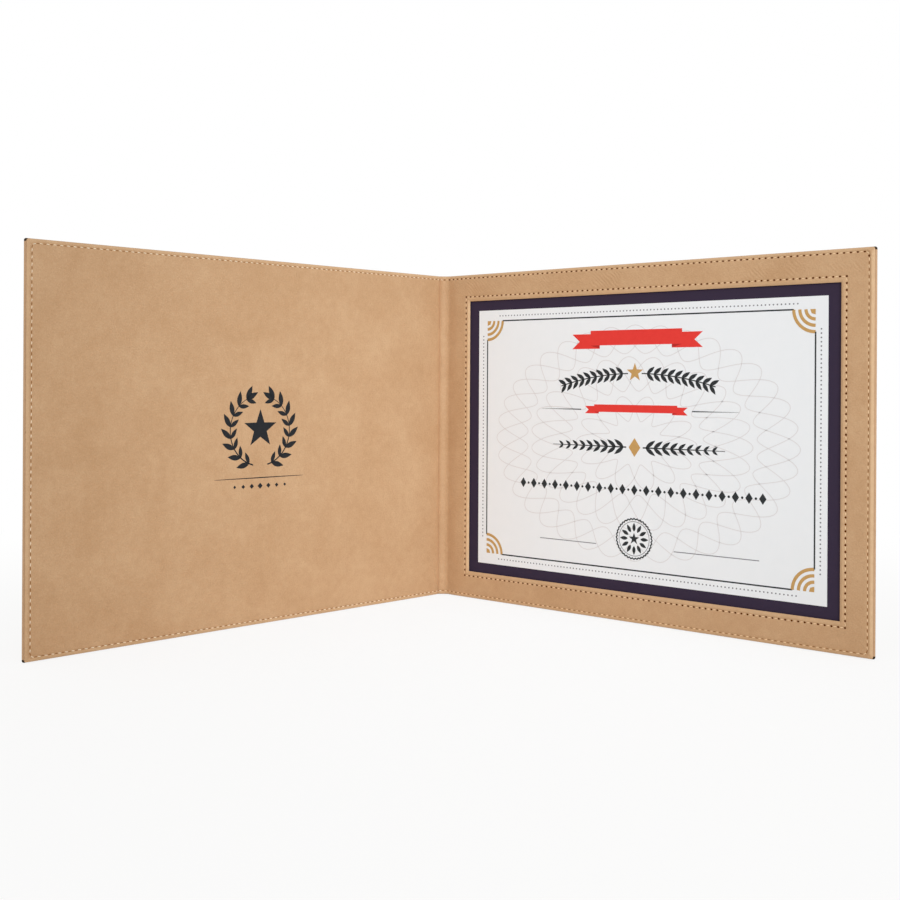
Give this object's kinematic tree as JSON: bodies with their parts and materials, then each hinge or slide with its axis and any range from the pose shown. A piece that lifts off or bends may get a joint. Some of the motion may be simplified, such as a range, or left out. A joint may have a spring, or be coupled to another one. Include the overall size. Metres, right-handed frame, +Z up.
{
  "type": "certificate holder",
  "caption": "Book-style certificate holder in stitched leatherette that stands open, with a soft hinged spine and a stitched window frame over a mounted sheet.",
  "frame": {"origin": "middle of the standing holder's footprint, on the surface that its tail edges stand on", "axes": "+X along the back cover from its fold line to its fore edge, +Y out of the back cover's outer face, +Z up from tail to head"},
  "size_m": [0.3516, 0.3086, 0.2286],
  "materials": {
    "leatherette": "matte fine-grained tan leatherette",
    "greyboard": "uncoated greyboard",
    "mount_card": "matte dark card",
    "certificate_paper": "smooth white paper",
    "thread": "twisted cream sewing thread"
  },
  "bodies": {
    "back_cover": {"back_board": "greyboard", "back_outer_skin": "leatherette", "mount_card": "mount_card", "certificate": "certificate_paper", "window_frame": "leatherette", "window_stitching": "thread", "window_bobbin_thread": "thread", "back_edge_stitching": "thread", "back_bobbin_thread": "thread"},
    "spine": {"spine_card": "greyboard", "spine_outer_skin": "leatherette", "spine_lining": "leatherette", "back_hinge_strip": "leatherette", "front_hinge_strip": "leatherette"},
    "front_cover": {"front_board": "greyboard", "front_filler": "greyboard", "front_outer_skin": "leatherette", "front_lining": "leatherette", "front_edge_stitching": "thread", "front_bobbin_thread": "thread"}
  },
  "joints": [
    {"name": "back_hinge", "type": "hinge", "parent": "spine", "child": "back_cover", "pos_m": [-0.129, 0.15336, 0], "axis": [0, 0, -1], "range_deg": [-41.2, 48.8], "deforming": ["back_hinge_strip"]},
    {"name": "front_hinge", "type": "hinge", "parent": "spine", "child": "front_cover", "pos_m": [-0.13486, 0.14822, 0], "axis": [0, 0, 1], "range_deg": [-41.2, 48.8], "deforming": ["front_hinge_strip"]}
  ]
}
